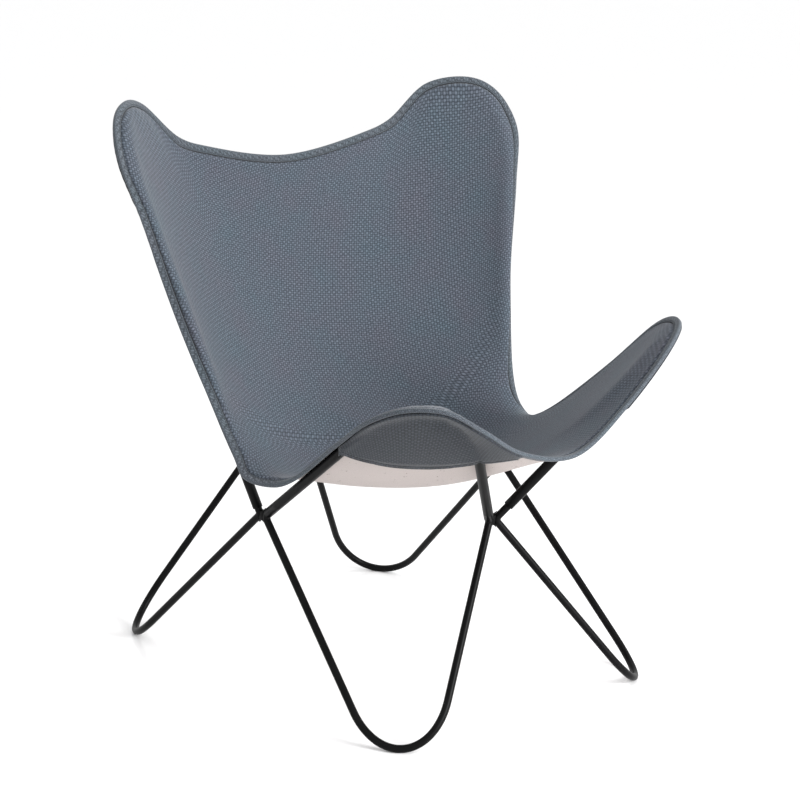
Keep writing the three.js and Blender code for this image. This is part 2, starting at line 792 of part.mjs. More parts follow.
// Moves the points of a net away from the tubes, and to one side of the arch, wherever a face
// made from it comes closer to a centreline than the cloth's rest.
function clearTubes(net, side, make) {
  const aim = tubeRadius + clothRest;
  const points = net.flat();
  const triangle = new THREE.Triangle();
  const hit = new THREE.Vector3();
  const ball = new THREE.Sphere();
  let made = make();
  for (let round = 0; round < seatRounds; round += 1) {
    const moves = new Map();
    for (const { geometry, targetsOf } of made) {
      const index = geometry.index.array;
      for (let t = 0; t < index.length; t += 3) {
        const corners = [index[t], index[t + 1], index[t + 2]];
        triangle.setFromAttributeAndIndices(geometry.attributes.position, ...corners);
        ball.setFromPoints([triangle.a, triangle.b, triangle.c]);
        for (const { point, normal } of probes) {
          if (ball.center.distanceTo(point) > ball.radius + aim) continue;
          triangle.closestPointToPoint(point, hit);
          const miss = aim - hit.distanceTo(point);
          if (miss < seatTolerance) continue;
          const away = toward(point, hit);
          away.addScaledVector(normal, side * Math.max(0, sideShare - side * away.dot(normal))).normalize();
          for (const target of corners.flatMap(targetsOf)) {
            if (miss > (moves.get(target)?.miss ?? 0)) moves.set(target, { miss, away });
          }
        }
      }
    }
    if (!moves.size) break;
    for (const [target, { miss, away }] of moves) points[target]?.addScaledVector(away, miss);
    made = make();
  }
  return made;
}

const sheet = clothSheet(hangCloth(tubeRadius + liningUnder + clothRest));

function mirrored([from, to]) {
  return [hemCount - to, hemCount - from];
}

const group = new THREE.Group();

function addPiece(name, geometry, material) {
  const mesh = new THREE.Mesh(geometry, new THREE.MeshStandardMaterial(material));
  mesh.name = name;
  group.add(mesh);
}

for (const [name, plan] of Object.entries(plans)) {
  addPiece(`floor_loop_${name}`, floorLoop(plan), steel);
  addPiece(`arch_tube_${name}`, archTube(plan), steel);
}
addPiece("weld_left", weld(plans.front_left, plans.rear_left, "outer"), steel);
addPiece("weld_right", weld(plans.front_right, plans.rear_right, "outer"), steel);
addPiece("weld_front", weld(plans.front_left, plans.front_right, "inner"), steel);
addPiece("weld_rear", weld(plans.rear_left, plans.rear_right, "inner"), steel);

addPiece("sling_panel", layer(sheet, layerGap / 2, layerGap / 2 + panelThickness), cloth);
addPiece("sling_lining", sheet.lining, canvas);
addPiece("hem_band", bandAlong(sheet.bandStations, bandWidth, bandThickness, true), tape);

for (const [name, plan] of Object.entries(plans)) {
  const stations = plan.isFront ? frontPocketHemStations : rearPocketHemStations;
  const range = plan.side === "left" ? stations : mirrored(stations);
  const bow = plan.isFront ? frontMouthBow : rearMouthBow;
  const contact = tubeRadius + clothRest + mouthBandThickness / 2;
  const [pocket, mouth] = pocketPatch(sheet, plan, range, bow, contact);
  addPiece(`pocket_${name}`, pocket, cloth);
  addPiece(`mouth_band_${name}`, mouth, tape);
}

// The origin goes to the middle of the chair's footprint, on the floor.
const box = new THREE.Box3().setFromObject(group);
const centre = box.getCenter(new THREE.Vector3());
group.position.set(-centre.x, -centre.y, 0);

export default group;
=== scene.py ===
# %% [markdown]
# # A butterfly sling chair
#
# Four loops of bent rod stand on the floor and are welded together where their bends meet. Four
# tube arches slide over the rod ends, and one big two-layer cloth hangs over the arches in corner
# pockets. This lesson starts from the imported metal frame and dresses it: the cloth is relaxed over
# the arches like a soap film, then gets its folded edge, its stitching, its pockets and its weave.

import json
import math

import bmesh
import bpy
import numpy as np
from mathutils import Matrix, Vector

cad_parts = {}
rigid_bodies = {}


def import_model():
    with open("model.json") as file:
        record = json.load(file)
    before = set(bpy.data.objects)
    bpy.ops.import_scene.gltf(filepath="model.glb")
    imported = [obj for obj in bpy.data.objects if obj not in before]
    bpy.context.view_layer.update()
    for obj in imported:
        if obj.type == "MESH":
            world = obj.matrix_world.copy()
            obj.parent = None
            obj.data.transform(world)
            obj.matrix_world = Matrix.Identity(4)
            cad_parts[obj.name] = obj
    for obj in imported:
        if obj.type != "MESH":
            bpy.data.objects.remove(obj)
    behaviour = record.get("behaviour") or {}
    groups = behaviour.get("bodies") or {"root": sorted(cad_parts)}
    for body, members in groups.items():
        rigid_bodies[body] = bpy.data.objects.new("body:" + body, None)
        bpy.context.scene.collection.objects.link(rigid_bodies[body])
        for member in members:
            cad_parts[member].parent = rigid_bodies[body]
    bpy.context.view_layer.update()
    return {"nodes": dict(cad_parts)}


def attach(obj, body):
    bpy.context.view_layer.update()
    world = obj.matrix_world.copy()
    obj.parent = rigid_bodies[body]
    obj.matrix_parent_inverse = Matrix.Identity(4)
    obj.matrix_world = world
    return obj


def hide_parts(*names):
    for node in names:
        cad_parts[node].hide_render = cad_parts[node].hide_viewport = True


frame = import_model()
print("frame nodes:", len(frame["nodes"]))

# %% [markdown]
# ## The camera
#
# The photograph was taken a little above seat height from the front left corner, with a long lens.
# A camera matrix is three directions and a place: its columns are right, up and backwards. Places
# are written in millimetres, from the origin of a drawing that lies a little behind the middle.

# %% Camera
MM = 0.001
TO_MIDDLE = np.array([0.0, 30.26, 0.0]) * MM  # the drawing's origin, from the middle of the floor
CAMERA_PLACE = np.array([-2222.43, -2682.24, 1297.36]) * MM
AZIMUTH, ELEVATION, ROLL = -39.97, 13.92, 0.73  # degrees
LENS, SENSOR = 100.08, 36  # millimetres


def aimed_camera(place):
    azimuth, elevation, roll = (math.radians(a) for a in (AZIMUTH, ELEVATION, ROLL))
    forward = Vector((-math.sin(azimuth) * math.cos(elevation),
                      math.cos(azimuth) * math.cos(elevation), -math.sin(elevation)))
    right = Vector((math.cos(azimuth), math.sin(azimuth), 0))
    up = right.cross(forward)
    rolled_right = right * math.cos(roll) + up * math.sin(roll)
    rolled_up = up * math.cos(roll) - right * math.sin(roll)
    data = bpy.data.cameras.new("camera")
    data.lens = LENS
    data.sensor_width = SENSOR
    camera = bpy.data.objects.new("camera", data)
    axes = Matrix((rolled_right, rolled_up, -forward)).transposed()
    camera.matrix_world = Matrix.Translation(place) @ axes.to_4x4()
    bpy.context.collection.objects.link(camera)
    return camera


camera_place = Vector(CAMERA_PLACE + TO_MIDDLE)
bpy.context.scene.camera = aimed_camera(camera_place)
print("camera at", [round(v, 3) for v in camera_place])

# %% [markdown]
# ## Studio
#
# A white sweep lit from all round. A bright even sky does most of the work, a large soft panel low
# at the front gives the cloth its modelling, and a small one from above lifts the seat. The floor
# is a little glossy, so the rods leave faint reflections on it.

# %% Floor and light
FLOOR_RADIUS = 30

scene = bpy.context.scene
scene.view_settings.view_transform = "Standard"

floor_mesh = bpy.data.meshes.new("studio_floor")
bm = bmesh.new()
bmesh.ops.create_circle(bm, cap_ends=True, segments=64, radius=FLOOR_RADIUS)
bm.to_mesh(floor_mesh)
bm.free()
floor = bpy.data.objects.new("studio_floor", floor_mesh)
bpy.context.collection.objects.link(floor)


def new_material(name):
    material = bpy.data.materials.new(name)
    material.use_nodes = True
    nodes = material.node_tree.nodes
    return material, nodes, material.node_tree.links, nodes["Principled BSDF"]


def set_inputs(node, values):
    for socket, value in values.items():
        node.inputs[socket].default_value = value


def soft_panel(name, place, target, size, power):
    data = bpy.data.lights.new(name, "AREA")
    data.shape = "RECTANGLE"
    data.size, data.size_y = size
    data.energy = power
    lamp = bpy.data.objects.new(name, data)
    lamp.location = place
    lamp.rotation_mode = "QUATERNION"
    lamp.rotation_quaternion = (Vector(target) - Vector(place)).to_track_quat("-Z", "Y")
    bpy.context.collection.objects.link(lamp)


floor_paint, _, _, shader = new_material("studio_floor_paint")
set_inputs(shader, {"Base Color": (0.92, 0.92, 0.925, 1), "Roughness": 0.22,
                    "Specular IOR Level": 0.25})
floor_mesh.materials.append(floor_paint)

world = bpy.data.worlds.new("studio")
scene.world = world
world.use_nodes = True
set_inputs(world.node_tree.nodes["Background"], {"Color": (1, 1, 1, 1), "Strength": 1.04})

soft_panel("key_panel", place=(0.9, -3.2, 1.5), target=(0, 0, 0.5), size=(1.5, 1.5), power=160)
soft_panel("top_panel", place=(0.9, 0.4, 3.0), target=(0, 0.1, 0.5), size=(1.2, 1.2), power=12)

# %% [markdown]
# ## The lines that everything hangs on
#
# The frame is drawn from its corners: where two loops meet at a side, at the front and at the
# rear, and where the straight legs of an arch would meet. A bend is a conic arc, so one length
# says where it starts and one number says how full it is.

# %% Corners of the frame
ROD = 6.0 * MM
TUBE = 8.02 * MM
CORNER_HALF = 6.0 * MM
SIDE = np.array([-250.5, 0, 286.5]) * MM
FRONT = np.array([0, -256.0, 294.0]) * MM
REAR = np.array([0, 256.5, 386.5]) * MM
FRONT_BOW = np.array([-283.0, -494.5, 672.0]) * MM
REAR_BOW = np.array([-493.5, 266.0, 1247.0]) * MM
FRONT_BOW_LIFT = 30 * MM
FRONT_FOOT = np.array([-289.5, -421.0, 0.0]) * MM
REAR_FOOT = np.array([-310.5, 449.0, 0.0]) * MM
BOW_BENDS = {"front": (335 * MM, 0.78), "rear": (522 * MM, 0.325)}
FLOOR_BENDS = {"front": (224.5 * MM, 0.45), "rear": (258.5 * MM, 0.42)}
BOW_STEPS = 40
MIRROR = {"left": np.array([1.0, 1.0, 1.0]), "right": np.array([-1.0, 1.0, 1.0])}


def unit(v):
    return v / np.maximum(np.linalg.norm(v, axis=-1, keepdims=True), 1e-12)


def conic(start, corner, end, tangent, fullness, steps):
    first = corner + unit(start - corner) * tangent
    last = corner + unit(end - corner) * tangent
    t = np.linspace(0, 1, steps + 1)[:, None]
    weight = (1 - t) ** 2 + 2 * fullness * t * (1 - t) + t**2
    return ((1 - t) ** 2 * first + 2 * fullness * t * (1 - t) * corner + t**2 * last) / weight


def loop_plan(place, side):
    front = place == "front"
    outer = SIDE + np.array([0, -CORNER_HALF if front else CORNER_HALF, 0])
    inner = (FRONT if front else REAR) + np.array([-CORNER_HALF, 0, 0])
    lift = {"left": -FRONT_BOW_LIFT, "right": FRONT_BOW_LIFT, "level": 0}[side] if front else 0
    bow = (FRONT_BOW if front else REAR_BOW) + np.array([0, 0, lift])
    foot = FRONT_FOOT if front else REAR_FOOT
    mirror = MIRROR["right" if side == "right" else "left"]
    plan = {"outer": outer, "inner": inner, "bow": bow, "foot": foot}
    plan = {key: value * mirror for key, value in plan.items()}
    plan["place"] = place
    plan["middle"] = (plan["outer"] + plan["inner"]) / 2
    plan["length"] = plan["bow"] - plan["middle"]
    plan["half"] = (plan["outer"] - plan["inner"]) / 2
    normal = unit(np.cross(plan["half"], plan["length"]))
    plan["normal"] = normal * (np.sign(normal[2]) if front else -np.sign(normal[1]))
    return plan


def bow_line(plan, steps):
    tangent, fullness = BOW_BENDS[plan["place"]]
    return conic(plan["outer"], plan["bow"], plan["inner"], tangent, fullness, steps)


def arch_line(plan):
    return np.vstack([plan["outer"], bow_line(plan, BOW_STEPS), plan["inner"]])


plans = {f"{p}_{s}": loop_plan(p, s) for p in ("front", "rear") for s in ("left", "right")}
print("arches:", list(plans))

# %% [markdown]
# ## The edge of the cloth
#
# The cloth's edge swings out past each arch's bow and dips between them. Its points are given as
# shares of the arch that they belong to: along the arch, across it, and off its plane. The front
# right bow stands higher than the left one, so a front point's fourth number says how much of that
# lift it takes. A closed spline runs through the points.

# %% The hem line
REAR_HEM = [
    (0.376, -1.504, 0.75), (0.471, -0.883, 0.281), (0.512, -0.684, 0.133), (0.599, -0.407, 0.03),
    (0.633, -0.003, 0.012), (0.626, 0.252, -0.03), (0.577, 0.514, -0.05), (0.479, 0.616, -0.05),
    (0.306, 0.757, -0.07), (0.115, 1.056, 0.014), (0.087, 1.223, 0.078),
]
FRONT_HEM = [
    (0.202, 1.012, 0.044, 0.4), (0.485, 0.65, 0.022, 0.65), (0.662, 0.489, 0.002, 1),
    (0.726, 0.234, -0.012, 1), (0.735, -0.105, -0.048, 1), (0.667, -0.447, -0.088, 1),
    (0.507, -0.893, -0.085, 0.6), (0.354, -1.455, 0.056, 0),
]
HEM_LIFT = 34 * MM
HEM_STEPS, ROUGH_STEPS = 12, 4  # spokes for each of the hem's points, in the fine and coarse nets


def hem_controls():
    points, lifts = [], []
    for plan, shares in ((plans["rear_left"], REAR_HEM), (loop_plan("front", "level"), FRONT_HEM)):
        size = np.linalg.norm(plan["half"])
        for along, across, off, *lift in shares:
            points.append(plan["middle"] + along * plan["length"] + across * plan["half"]
                          + plan["normal"] * off * size)
            lifts.append([0, 0, lift[0] * HEM_LIFT if lift else 0])
    points, lifts = np.array(points), np.array(lifts)
    points[[0, -1], 0] = 0
    return np.vstack([points - lifts, ((points + lifts) * MIRROR["right"])[-2:0:-1]])


def closed_spline(points, steps):
    before, after, later = (np.roll(points, n, 0) for n in (1, -1, -2))
    d0, d1, d2 = (np.linalg.norm(b - a, axis=1)[:, None] ** 0.5
                  for a, b in ((before, points), (points, after), (after, later)))
    t1 = ((points - before) / d0 - (after - before) / (d0 + d1) + (after - points) / d1) * d1
    t2 = ((after - points) / d1 - (later - points) / (d1 + d2) + (later - after) / d2) * d1
    square = -3 * points + 3 * after - 2 * t1 - t2
    cube = 2 * points - 2 * after + t1 + t2
    rows = [points + t1 * s + square * s * s + cube * s**3 for s in np.arange(steps) / steps]
    return np.stack(rows, 1).reshape(-1, points.shape[1])


def looped(rows):
    return np.concatenate([rows, rows[:1]], 0)


def marks_along(lines):
    steps = np.linalg.norm(np.diff(lines, axis=-2), axis=-1)
    return np.concatenate([np.zeros_like(steps[..., :1]), steps.cumsum(-1)], -1)


def point_at(line, marks, at):
    return np.stack([np.interp(at, marks, line[:, axis]) for axis in range(3)], -1)


controls = hem_controls()
hem_length = marks_along(looped(closed_spline(controls, HEM_STEPS)))[-1]
print("hem points:", len(controls), "length:", round(float(hem_length), 3))

# %% [markdown]
# ## Touching the tubes
#
# The cloth may not sink into a tube. Near an arch each knot is measured from the arch's plane, and
# a round crest over the tube says how high it must stand at least. The crest has a flat strip on
# top, which keeps knots from sliding off it; the net needs a strip this wide to settle.

# %% Lift the net off the tubes
CONTACT = 9.8 * MM
PLATEAU = 3.0 * MM
NEAR = 70 * MM


def nearest_on(line, points):
    start, step = line[:-1], np.diff(line, axis=0)
    share = ((points[:, None] - start) * step).sum(2) / (step * step).sum(1)
    spots = start + np.clip(share, 0, 1)[..., None] * step
    gaps = np.linalg.norm(points[:, None] - spots, axis=2)
    best = gaps.argmin(1)
    rows = np.arange(len(points))
    return spots[rows, best], unit(step)[best], gaps[rows, best]


def relief(points, line, normal, radius):
    spot, direction, _ = nearest_on(line, points)
    away = points - spot
    height = away @ normal
    sideways = away - height[:, None] * normal
    sideways -= (sideways * direction).sum(1)[:, None] * direction
    reach = np.maximum(0, np.linalg.norm(sideways, axis=1) - PLATEAU)
    need = np.where(reach < radius, np.sqrt(np.maximum(radius**2 - reach**2, 0)), -np.inf)
    return height, need


contacts = [(arch_line(plan), plan["normal"]) for plan in plans.values()]


def near_arches(points):
    return [np.where(nearest_on(line, points)[2] < NEAR)[0] for line, _ in contacts]


def lift_off(points, near):
    for (line, normal), index in zip(contacts, near):
        if len(index):
            height, need = relief(points[index], line, normal, CONTACT)
            points[index] += np.maximum(0, need - height)[:, None] * normal
    return points


print("contact lines:", len(contacts))

# %% [markdown]
# ## The hanging cloth
#
# A stretched cloth behaves much like a soap film that carries a small load. The net has rings and
# spokes. Each knot moves to the weighted mean of its four neighbours, plus a push down and back for
# the bag, which grows a little towards the hem. Knots are visited like the two colours of a
# chessboard, which lets each move overshoot safely and settle fast. A coarse net settles first and
# a fine one starts from it.

# %% Settle the net
BAG = 326 * MM
LEAN = 0.32
LOAD = unit(np.array([0, LEAN, -1])) * 4 * BAG
LOAD_AT_POLE, LOAD_RISE = 0.7, 0.5
LOOK_AGAIN = 25


def net_pulls(net, radii):
    arcs = np.linalg.norm(np.roll(net[-1], -1, 0) - net[-1], axis=1)
    angles = 2 * np.pi * arcs / arcs.sum()
    width = (angles + np.roll(angles, 1)) / 2
    gaps = np.diff(radii)
    depth = np.zeros(len(radii))
    depth[1:-1] = (gaps[1:] + gaps[:-1]) / 2
    outward, inward, around = np.zeros((3, *net.shape[:2]))
    outward[:-1] = ((radii[1:] + radii[:-1]) / 2 / gaps)[:, None] * width
    inward[1:] = outward[:-1]
    around[1:-1] = depth[1:-1, None] / (radii[1:-1, None] * angles)
    sharing = LOAD_AT_POLE + LOAD_RISE * radii
    push = (radii * depth * sharing)[:, None, None] * width[:, None] * LOAD
    return outward, inward, around, np.roll(around, 1, axis=1), push


def settle(net, radii, rounds, overshoot):
    outward, inward, around, back, push = net_pulls(net, radii)
    total = (outward + inward + around + back)[..., None]
    total[total == 0] = 1
    ring, spoke = np.indices(net.shape[:2])
    inside = (ring > 0) & (ring < len(net) - 1)
    colours = [((ring + spoke) % 2 == c) & inside for c in (0, 1)]
    for turn in range(rounds):
        for colour in colours:
            outer, inner = np.zeros_like(net), np.zeros_like(net)
            outer[:-1], inner[1:] = net[1:], net[:-1]
            pulled = outward[..., None] * outer + inward[..., None] * inner + push
            pulled += around[..., None] * np.roll(net, -1, 1) + back[..., None] * np.roll(net, 1, 1)
            net[colour] += overshoot * (pulled / total - net)[colour]
        net[0] = net[1].mean(0) + LOAD * (radii[1] / 2) ** 2
        knots = net[1:-1].reshape(-1, 3)
        if turn % LOOK_AGAIN == 0:
            near = near_arches(knots)
        net[1:-1] = lift_off(knots, near).reshape(net[1:-1].shape)
    return net


print("load:", LOAD.round(3))

# %% A coarse net, then a fine one
COARSE_RINGS, COARSE_ROUNDS, COARSE_OVERSHOOT = 20, 900, 1.75
FINE_RINGS, FINE_ROUNDS, FINE_OVERSHOOT = 60, 260, 1.7
RING_CROWDING = 1.25


def spaced_radii(rings):
    return 1 - (1 - np.arange(rings + 1) / rings) ** RING_CROWDING


def refined(net, old_radii, new_radii, hem):
    factor = len(hem) // net.shape[1]
    wide = np.zeros((len(net), len(hem), 3))
    for k in range(factor):
        share = k / factor
        wide[:, k::factor] = net * (1 - share) + np.roll(net, -1, 1) * share
    spokes = [point_at(wide[:, s], old_radii, new_radii) for s in range(len(hem))]
    fine = np.stack(spokes, 1)
    fine[-1] = hem
    return fine


coarse_radii, fine_radii = spaced_radii(COARSE_RINGS), spaced_radii(FINE_RINGS)
coarse_hem = closed_spline(controls, ROUGH_STEPS)
net = coarse_hem.mean(0) + (coarse_hem - coarse_hem.mean(0)) * coarse_radii[:, None, None]
net = settle(net, coarse_radii, COARSE_ROUNDS, COARSE_OVERSHOOT)
net = refined(net, coarse_radii, fine_radii, closed_spline(controls, HEM_STEPS))
net = settle(net, fine_radii, FINE_ROUNDS, FINE_OVERSHOOT)
net = net + TO_MIDDLE
for plan in plans.values():
    for key in ("outer", "inner", "bow", "foot", "middle"):
        plan[key] = plan[key] + TO_MIDDLE
print("lowest point of the bag:", round(float(net[..., 2].min()), 4))

# %% [markdown]
# ## Rows and columns of cloth
#
# The relaxed net is resampled into rows at fixed distances from the hem, close together near the
# edge where the cloth rolls over the tube, and wider towards the middle of the seat. Each column
# also says how slanted it meets the hem, so that a width across the edge is a true width.

# %% Resample the net
BAND = 12 * MM
SEAM = -0.5 * MM  # the panel tucks this far under the folded edge
NEAR_EDGE = np.array([0, 0.8, 2, 3.6, 5.6, 8, 11, 14.5, 18.5,
                      23, 28, 34, 41, 49, 58, 69, 82, 97]) * MM
POLE_ROWS, POLE_CROWDING = 26, 1.15
ROW_PASSES = 3
SPOKES = net.shape[1]
spoke_lines = net[::-1].transpose(1, 0, 2)
spoke_marks = marks_along(spoke_lines)


def spoke_point(i, distance):
    return point_at(spoke_lines[i], spoke_marks[i], distance)


def on_spokes(distances):
    distances = np.broadcast_to(distances, (SPOKES,))
    return np.array([spoke_point(i, distance) for i, distance in enumerate(distances)])


def net_normals(rows, closed=True):
    if closed:
        side = np.roll(rows, -1, 1) - np.roll(rows, 1, 1)
    else:
        side = np.gradient(rows, axis=1)
    return unit(np.cross(side, np.gradient(rows, axis=0)))


hem = spoke_lines[:, 0]
hem_direction = unit(np.roll(hem, -1, 0) - np.roll(hem, 1, 0))
slant = np.linalg.norm(np.cross(hem_direction, unit(on_spokes(BAND) - hem)), axis=1)
slant = (np.roll(slant, 1) + 2 * slant + np.roll(slant, -1)) / 4
band_edge = BAND / slant
edge_distance = band_edge + SEAM / slant
last_near = edge_distance + NEAR_EDGE[-1]
to_pole = 1 - (1 - np.arange(1, POLE_ROWS + 1) / POLE_ROWS) ** POLE_CROWDING
row_distances = [edge_distance + d for d in NEAR_EDGE]
row_distances += [last_near + share * (spoke_marks[:, -1] - last_near) for share in to_pole]
cloth_rows = np.array([on_spokes(distances) for distances in row_distances])
for _ in range(ROW_PASSES):
    cloth_rows[2:-1] = (cloth_rows[1:-2] + 2 * cloth_rows[2:-1] + cloth_rows[3:]) / 4
cloth_normals = net_normals(cloth_rows)
cloth_normals[-1] = unit(cloth_normals[-2].mean(0))
print("cloth net:", cloth_rows.shape[:2])

# %% [markdown]
# ## Flattening, for the weave and the cut
#
# A weave doesn't stretch much, so its pattern has to follow the flat cloth that was cut, not the
# hanging shape. Each knot of a thinned net starts where its spoke would lie on a table, then every
# link pulls its two ends towards the link's real length. What comes out is the pattern's map.

# %% Lay the cloth flat
THIN = 6
FLAT_ROUNDS, FLAT_OVERSHOOT = 900, 1.4
LINK_STEPS = ((0, 1), (1, 0), (1, 1), (1, -1))


def laid_flat(rows):
    down = unit(hem[0] - hem[SPOKES // 2])
    rim = rows[0] - rows[-1].mean(0)
    angle = np.arctan2(rim @ down, rim[:, 0])
    steps = np.linalg.norm(np.diff(rows, axis=0), axis=2)[::-1].cumsum(0)[::-1]
    reach = np.concatenate([steps, np.zeros((1, rows.shape[1]))])
    flat = np.stack([reach * np.cos(angle), reach * np.sin(angle)], -1)
    links = []
    for down_rows, columns in LINK_STEPS:
        end = np.roll(rows, -columns, 1)[down_rows:]
        length = np.linalg.norm(end - rows[: len(rows) - down_rows], axis=2)
        links.append((down_rows, columns, length))
    for _ in range(FLAT_ROUNDS):
        move = np.zeros_like(flat)
        count = np.zeros(flat.shape[:2])
        for down_rows, columns, length in links:
            tall = len(flat) - down_rows
            gap = np.roll(flat, -columns, 1)[down_rows:] - flat[:tall]
            now = np.linalg.norm(gap, axis=2)
            pull = gap * ((now - length) / np.maximum(now, 1e-6) / 2)[..., None]
            move[:tall] += pull
            move[down_rows:] -= np.roll(pull, columns, 1)
            count[:tall] += 1
            count[down_rows:] += 1
        flat += move / count[..., None] * FLAT_OVERSHOOT
        flat[-1] = flat[-1].mean(0)
    return flat


thin_flat = laid_flat(cloth_rows[:, ::THIN])
cloth_flat = [closed_spline(row, THIN) for row in thin_flat[:-1]]
cloth_flat = np.array(cloth_flat + [np.repeat(thin_flat[-1], THIN, 0)])

# %% [markdown]
# ## A sheet from a grid
#
# Every cloth piece starts as Blender's own grid. Its vertices go to the computed places, its map
# is written on the faces, and the edges that meet are merged. A Solidify modifier gives the sheet
# its thickness and closes its rim.

# %% Helpers for sheets
def face_outward(bm, fill_ends=False):
    if fill_ends:
        bmesh.ops.holes_fill(bm, edges=[e for e in bm.edges if e.is_boundary], sides=0)
    bmesh.ops.recalc_face_normals(bm, faces=bm.faces)


def finished(name, bm, material):
    mesh = bpy.data.meshes.new(name)
    bm.to_mesh(mesh)
    bm.free()
    mesh.polygons.foreach_set("use_smooth", [True] * len(mesh.polygons))
    mesh.materials.append(material)
    piece = bpy.data.objects.new(name, mesh)
    bpy.context.collection.objects.link(piece)
    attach(piece, "root")
    return piece


def sheet_grid(name, points, flat, material, closed=False):
    rows, columns = points.shape[:2]
    bm = bmesh.new()
    bmesh.ops.create_grid(bm, x_segments=columns - 1, y_segments=rows - 1, size=1)
    uv = bm.loops.layers.uv.new("cloth_map")
    bm.verts.ensure_lookup_table()
    place = {}
    for vert in bm.verts:
        i = round((vert.co.x + 1) / 2 * (columns - 1))
        j = round((vert.co.y + 1) / 2 * (rows - 1))
        place[vert.index] = (j, i)
        vert.co = points[j, i]
    for face in bm.faces:
        for loop in face.loops:
            loop[uv].uv = flat[place[loop.vert.index]]
    if closed:
        bmesh.ops.remove_doubles(bm, verts=bm.verts, dist=1e-6)
    face_outward(bm)
    return finished(name, bm, material)


def thicken(piece, thickness):
    solid = piece.modifiers.new("thickness", "SOLIDIFY")
    solid.thickness = thickness
    solid.offset = 0
    solid.use_even_offset = True


def wrapped(grid):
    return np.concatenate([grid, grid[:, :1]], 1)


print("sheet helpers ready")

# %% [markdown]
# ## The weave
#
# The face cloth is a dense basket weave of blue-grey yarn, set on the slant. Two sine waves draw
# the over-and-under of the yarns, and a chequer swaps them. The same height drives the bump and
# darkens the hollows between the yarns, as painted shade. Slow noise turns patches from violet-grey
# to teal, as on the real cloth, and faint speckles run along the yarn.

# %% Helpers for materials
NUMBER_A, NUMBER_B, NUMBER_OUT = 2, 3, 0  # a Mix node keeps its sockets by kind
VECTOR_A, VECTOR_B, VECTOR_OUT = 4, 5, 1
COLOUR_A, COLOUR_B, COLOUR_OUT = 6, 7, 2


def math_node(nodes, links, operation, *inputs):
    node = nodes.new("ShaderNodeMath")
    node.operation = operation
    for socket, value in zip(node.inputs, inputs):
        if isinstance(value, (int, float)):
            socket.default_value = value
        else:
            links.new(value, socket)
    return node.outputs[0]


def noise(nodes, links, vector, scale, detail=2, roughness=0.5):
    node = nodes.new("ShaderNodeTexNoise")
    set_inputs(node, {"Scale": scale, "Detail": detail, "Roughness": roughness})
    links.new(vector, node.inputs["Vector"])
    return node


def ramp(nodes, links, factor, stops):
    node = nodes.new("ShaderNodeValToRGB")
    for element, (position, colour) in zip(node.color_ramp.elements, stops):
        element.position = position
        element.color = (*colour, 1)
    links.new(factor, node.inputs[0])
    return node.outputs[0]


def multiplied(nodes, links, first, second):
    node = nodes.new("ShaderNodeMix")
    node.data_type = "RGBA"
    node.blend_type = "MULTIPLY"
    set_inputs(node, {"Factor": 1})
    links.new(first, node.inputs[COLOUR_A])
    links.new(second, node.inputs[COLOUR_B])
    return node.outputs[COLOUR_OUT]


def bump(nodes, links, shader, height, strength, distance):
    node = nodes.new("ShaderNodeBump")
    set_inputs(node, {"Strength": strength, "Distance": distance})
    links.new(height, node.inputs["Height"])
    links.new(node.outputs[0], shader.inputs["Normal"])


print("material helpers ready")

# %% Cloth material
YARN_ROUND = 0.6
YARN_RISE, YARN_BASE = 0.7, 0.3
WOBBLE = 0.16


def ridge(nodes, links, value):
    wave = math_node(nodes, links, "SINE", math_node(nodes, links, "MULTIPLY", value, math.pi))
    return math_node(nodes, links, "ABSOLUTE", wave)


def yarn_height(nodes, links, across, along):
    body = math_node(nodes, links, "POWER", across, YARN_ROUND)
    rise = math_node(nodes, links, "MULTIPLY_ADD", along, YARN_RISE, YARN_BASE)
    return math_node(nodes, links, "MULTIPLY", body, rise)


def weave_height(nodes, links, pitch, turn, wide=1.0, hollow=0.62):
    source = nodes.new("ShaderNodeUVMap")
    source.uv_map = "cloth_map"
    mapping = nodes.new("ShaderNodeMapping")
    set_inputs(mapping, {"Rotation": (0, 0, math.radians(turn)),
                         "Scale": (1 / (pitch * wide), 1 / pitch, 1)})
    links.new(source.outputs[0], mapping.inputs["Vector"])
    wobble = noise(nodes, links, mapping.outputs[0], 0.35)
    bent = nodes.new("ShaderNodeMix")
    bent.data_type = "VECTOR"
    set_inputs(bent, {"Factor": WOBBLE})
    links.new(mapping.outputs[0], bent.inputs[VECTOR_A])
    links.new(wobble.outputs["Color"], bent.inputs[VECTOR_B])
    threads = bent.outputs[VECTOR_OUT]
    parts = nodes.new("ShaderNodeSeparateXYZ")
    links.new(threads, parts.inputs[0])
    ridge_x, ridge_y = (ridge(nodes, links, parts.outputs[axis]) for axis in (0, 1))
    checker = nodes.new("ShaderNodeTexChecker")
    set_inputs(checker, {"Scale": 1})
    links.new(threads, checker.inputs["Vector"])
    along_x = yarn_height(nodes, links, ridge_y, ridge_x)
    along_y = yarn_height(nodes, links, ridge_x, ridge_y)
    swap = nodes.new("ShaderNodeMix")
    links.new(checker.outputs["Fac"], swap.inputs["Factor"])
    links.new(along_x, swap.inputs[NUMBER_A])
    links.new(math_node(nodes, links, "MULTIPLY", along_y, hollow), swap.inputs[NUMBER_B])
    return source.outputs[0], threads, swap.outputs[NUMBER_OUT]


